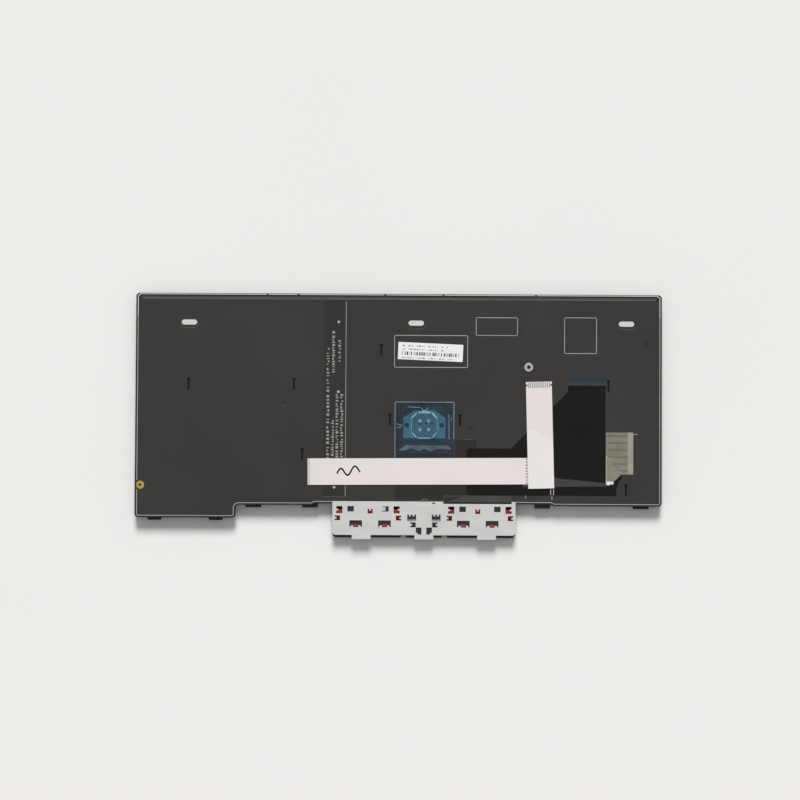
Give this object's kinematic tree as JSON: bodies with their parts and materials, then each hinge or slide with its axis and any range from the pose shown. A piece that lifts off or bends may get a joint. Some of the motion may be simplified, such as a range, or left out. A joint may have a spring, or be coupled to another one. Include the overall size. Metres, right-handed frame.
{
  "type": "laptop replacement keyboard",
  "caption": "Flat laptop keyboard unit lying on its keys, back up, with pointing stick, pointer buttons, steel base plate with windowed apron, black back film and flat ribbon cables.",
  "frame": {"origin": "middle of the bounding box's base, in the plane of the keycap tops", "axes": "+Z out of the back, +Y towards the function keys, +X right as seen from the back"},
  "size_m": [0.291, 0.1356, 0.0064],
  "materials": {
    "bezel_plastic": "moulded, fine texture",
    "plate_steel": "bare zinc-plated sheet",
    "membrane_film": "translucent polyester with printed tracks",
    "dome_rubber": "silicone",
    "link_plastic": "moulded",
    "red_plastic": "moulded",
    "guide_white": "white sheet",
    "black_film": "satin film",
    "strip_film": "satin film",
    "black_tape": "matte tape",
    "bracket_steel": "stamped",
    "sensor_steel": "stamped",
    "cap_rubber": "textured rubber",
    "blue_film": "clear blue film",
    "white_ribbon": "smooth laminate",
    "black_flex": "glossy laminate",
    "blue_stiffener": "smooth",
    "label_paper": "matte label",
    "boss_steel": "turned, plated",
    "insert_brass": "turned",
    "switch_film": "printed film",
    "button_plastic": "moulded, fine texture",
    "keycap_plastic": "moulded, fine texture"
  },
  "bodies": {
    "chassis": {"bezel_frame": "bezel_plastic", "base_plate": "plate_steel", "switch_membrane": "membrane_film", "rubber_domes": "dome_rubber", "scissor_links": "link_plastic", "left_button_links": "red_plastic", "right_button_links": "red_plastic", "light_guide": "guide_white", "back_film": "black_film", "led_strip": "strip_film", "cover_tape": "black_tape", "stick_bracket": "bracket_steel", "stick_sensor": "sensor_steel", "stick_cap": "cap_rubber", "stick_film": "blue_film", "pointer_ribbon": "white_ribbon", "backlight_ribbon": "white_ribbon", "keyboard_flex": "black_flex", "flex_stiffener": "blue_stiffener", "part_label": "label_paper", "screw_boss": "boss_steel", "brass_insert": "insert_brass", "button_switch_sheet": "switch_film", "function_keys": "keycap_plastic", "number_keys": "keycap_plastic", "symbol_keys": "keycap_plastic", "modifier_keys": "keycap_plastic", "arrow_keys": "keycap_plastic"},
    "key_q": {"key_q": "keycap_plastic"},
    "key_w": {"key_w": "keycap_plastic"},
    "key_e": {"key_e": "keycap_plastic"},
    "key_r": {"key_r": "keycap_plastic"},
    "key_t": {"key_t": "keycap_plastic"},
    "key_y": {"key_y": "keycap_plastic"},
    "key_u": {"key_u": "keycap_plastic"},
    "key_i": {"key_i": "keycap_plastic"},
    "key_o": {"key_o": "keycap_plastic"},
    "key_p": {"key_p": "keycap_plastic"},
    "key_a": {"key_a": "keycap_plastic"},
    "key_s": {"key_s": "keycap_plastic"},
    "key_d": {"key_d": "keycap_plastic"},
    "key_f": {"key_f": "keycap_plastic"},
    "key_g": {"key_g": "keycap_plastic"},
    "key_h": {"key_h": "keycap_plastic"},
    "key_j": {"key_j": "keycap_plastic"},
    "key_k": {"key_k": "keycap_plastic"},
    "key_l": {"key_l": "keycap_plastic"},
    "key_z": {"key_z": "keycap_plastic"},
    "key_x": {"key_x": "keycap_plastic"},
    "key_c": {"key_c": "keycap_plastic"},
    "key_v": {"key_v": "keycap_plastic"},
    "key_b": {"key_b": "keycap_plastic"},
    "key_n": {"key_n": "keycap_plastic"},
    "key_m": {"key_m": "keycap_plastic"},
    "key_space": {"key_space": "keycap_plastic"},
    "key_enter": {"key_enter": "keycap_plastic"},
    "key_backspace": {"key_backspace": "keycap_plastic"},
    "left_button": {"left_button": "button_plastic"},
    "middle_button": {"middle_button": "button_plastic"},
    "right_button": {"right_button": "button_plastic"}
  },
  "joints": [
    {"name": "key_q_press", "type": "slide", "parent": "chassis", "child": "key_q", "axis": [0, 0, 1], "range_m": [0, 0.0015], "stiffness_N_per_m": 300, "springref_m": -0.001, "deforming": ["scissor_links", "rubber_domes"]},
    {"name": "key_w_press", "type": "slide", "parent": "chassis", "child": "key_w", "axis": [0, 0, 1], "range_m": [0, 0.0015], "stiffness_N_per_m": 300, "springref_m": -0.001, "deforming": ["scissor_links", "rubber_domes"]},
    {"name": "key_e_press", "type": "slide", "parent": "chassis", "child": "key_e", "axis": [0, 0, 1], "range_m": [0, 0.0015], "stiffness_N_per_m": 300, "springref_m": -0.001, "deforming": ["scissor_links", "rubber_domes"]},
    {"name": "key_r_press", "type": "slide", "parent": "chassis", "child": "key_r", "axis": [0, 0, 1], "range_m": [0, 0.0015], "stiffness_N_per_m": 300, "springref_m": -0.001, "deforming": ["scissor_links", "rubber_domes"]},
    {"name": "key_t_press", "type": "slide", "parent": "chassis", "child": "key_t", "axis": [0, 0, 1], "range_m": [0, 0.0015], "stiffness_N_per_m": 300, "springref_m": -0.001, "deforming": ["scissor_links", "rubber_domes"]},
    {"name": "key_y_press", "type": "slide", "parent": "chassis", "child": "key_y", "axis": [0, 0, 1], "range_m": [0, 0.0015], "stiffness_N_per_m": 300, "springref_m": -0.001, "deforming": ["scissor_links", "rubber_domes"]},
    {"name": "key_u_press", "type": "slide", "parent": "chassis", "child": "key_u", "axis": [0, 0, 1], "range_m": [0, 0.0015], "stiffness_N_per_m": 300, "springref_m": -0.001, "deforming": ["scissor_links", "rubber_domes"]},
    {"name": "key_i_press", "type": "slide", "parent": "chassis", "child": "key_i", "axis": [0, 0, 1], "range_m": [0, 0.0015], "stiffness_N_per_m": 300, "springref_m": -0.001, "deforming": ["scissor_links", "rubber_domes"]},
    {"name": "key_o_press", "type": "slide", "parent": "chassis", "child": "key_o", "axis": [0, 0, 1], "range_m": [0, 0.0015], "stiffness_N_per_m": 300, "springref_m": -0.001, "deforming": ["scissor_links", "rubber_domes"]},
    {"name": "key_p_press", "type": "slide", "parent": "chassis", "child": "key_p", "axis": [0, 0, 1], "range_m": [0, 0.0015], "stiffness_N_per_m": 300, "springref_m": -0.001, "deforming": ["scissor_links", "rubber_domes"]},
    {"name": "key_a_press", "type": "slide", "parent": "chassis", "child": "key_a", "axis": [0, 0, 1], "range_m": [0, 0.0015], "stiffness_N_per_m": 300, "springref_m": -0.001, "deforming": ["scissor_links", "rubber_domes"]},
    {"name": "key_s_press", "type": "slide", "parent": "chassis", "child": "key_s", "axis": [0, 0, 1], "range_m": [0, 0.0015], "stiffness_N_per_m": 300, "springref_m": -0.001, "deforming": ["scissor_links", "rubber_domes"]},
    {"name": "key_d_press", "type": "slide", "parent": "chassis", "child": "key_d", "axis": [0, 0, 1], "range_m": [0, 0.0015], "stiffness_N_per_m": 300, "springref_m": -0.001, "deforming": ["scissor_links", "rubber_domes"]},
    {"name": "key_f_press", "type": "slide", "parent": "chassis", "child": "key_f", "axis": [0, 0, 1], "range_m": [0, 0.0015], "stiffness_N_per_m": 300, "springref_m": -0.001, "deforming": ["scissor_links", "rubber_domes"]},
    {"name": "key_g_press", "type": "slide", "parent": "chassis", "child": "key_g", "axis": [0, 0, 1], "range_m": [0, 0.0015], "stiffness_N_per_m": 300, "springref_m": -0.001, "deforming": ["scissor_links", "rubber_domes"]},
    {"name": "key_h_press", "type": "slide", "parent": "chassis", "child": "key_h", "axis": [0, 0, 1], "range_m": [0, 0.0015], "stiffness_N_per_m": 300, "springref_m": -0.001, "deforming": ["scissor_links", "rubber_domes"]},
    {"name": "key_j_press", "type": "slide", "parent": "chassis", "child": "key_j", "axis": [0, 0, 1], "range_m": [0, 0.0015], "stiffness_N_per_m": 300, "springref_m": -0.001, "deforming": ["scissor_links", "rubber_domes"]},
    {"name": "key_k_press", "type": "slide", "parent": "chassis", "child": "key_k", "axis": [0, 0, 1], "range_m": [0, 0.0015], "stiffness_N_per_m": 300, "springref_m": -0.001, "deforming": ["scissor_links", "rubber_domes"]},
    {"name": "key_l_press", "type": "slide", "parent": "chassis", "child": "key_l", "axis": [0, 0, 1], "range_m": [0, 0.0015], "stiffness_N_per_m": 300, "springref_m": -0.001, "deforming": ["scissor_links", "rubber_domes"]},
    {"name": "key_z_press", "type": "slide", "parent": "chassis", "child": "key_z", "axis": [0, 0, 1], "range_m": [0, 0.0015], "stiffness_N_per_m": 300, "springref_m": -0.001, "deforming": ["scissor_links", "rubber_domes"]},
    {"name": "key_x_press", "type": "slide", "parent": "chassis", "child": "key_x", "axis": [0, 0, 1], "range_m": [0, 0.0015], "stiffness_N_per_m": 300, "springref_m": -0.001, "deforming": ["scissor_links", "rubber_domes"]},
    {"name": "key_c_press", "type": "slide", "parent": "chassis", "child": "key_c", "axis": [0, 0, 1], "range_m": [0, 0.0015], "stiffness_N_per_m": 300, "springref_m": -0.001, "deforming": ["scissor_links", "rubber_domes"]},
    {"name": "key_v_press", "type": "slide", "parent": "chassis", "child": "key_v", "axis": [0, 0, 1], "range_m": [0, 0.0015], "stiffness_N_per_m": 300, "springref_m": -0.001, "deforming": ["scissor_links", "rubber_domes"]},
    {"name": "key_b_press", "type": "slide", "parent": "chassis", "child": "key_b", "axis": [0, 0, 1], "range_m": [0, 0.0015], "stiffness_N_per_m": 300, "springref_m": -0.001, "deforming": ["scissor_links", "rubber_domes"]},
    {"name": "key_n_press", "type": "slide", "parent": "chassis", "child": "key_n", "axis": [0, 0, 1], "range_m": [0, 0.0015], "stiffness_N_per_m": 300, "springref_m": -0.001, "deforming": ["scissor_links", "rubber_domes"]},
    {"name": "key_m_press", "type": "slide", "parent": "chassis", "child": "key_m", "axis": [0, 0, 1], "range_m": [0, 0.0015], "stiffness_N_per_m": 300, "springref_m": -0.001, "deforming": ["scissor_links", "rubber_domes"]},
    {"name": "key_space_press", "type": "slide", "parent": "chassis", "child": "key_space", "axis": [0, 0, 1], "range_m": [0, 0.0015], "stiffness_N_per_m": 300, "springref_m": -0.001, "deforming": ["scissor_links", "rubber_domes"]},
    {"name": "key_enter_press", "type": "slide", "parent": "chassis", "child": "key_enter", "axis": [0, 0, 1], "range_m": [0, 0.0015], "stiffness_N_per_m": 300, "springref_m": -0.001, "deforming": ["scissor_links", "rubber_domes"]},
    {"name": "key_backspace_press", "type": "slide", "parent": "chassis", "child": "key_backspace", "axis": [0, 0, 1], "range_m": [0, 0.0015], "stiffness_N_per_m": 300, "springref_m": -0.001, "deforming": ["scissor_links", "rubber_domes"]},
    {"name": "left_button_press", "type": "slide", "parent": "chassis", "child": "left_button", "axis": [0, 0, 1], "range_m": [0, 0.001], "stiffness_N_per_m": 500, "springref_m": -0.001, "deforming": ["left_button_links"]},
    {"name": "middle_button_press", "type": "slide", "parent": "chassis", "child": "middle_button", "axis": [0, 0, 1], "range_m": [0, 0.001], "stiffness_N_per_m": 500, "springref_m": -0.001, "deforming": ["scissor_links"]},
    {"name": "right_button_press", "type": "slide", "parent": "chassis", "child": "right_button", "axis": [0, 0, 1], "range_m": [0, 0.001], "stiffness_N_per_m": 500, "springref_m": -0.001, "deforming": ["right_button_links"]}
  ]
}
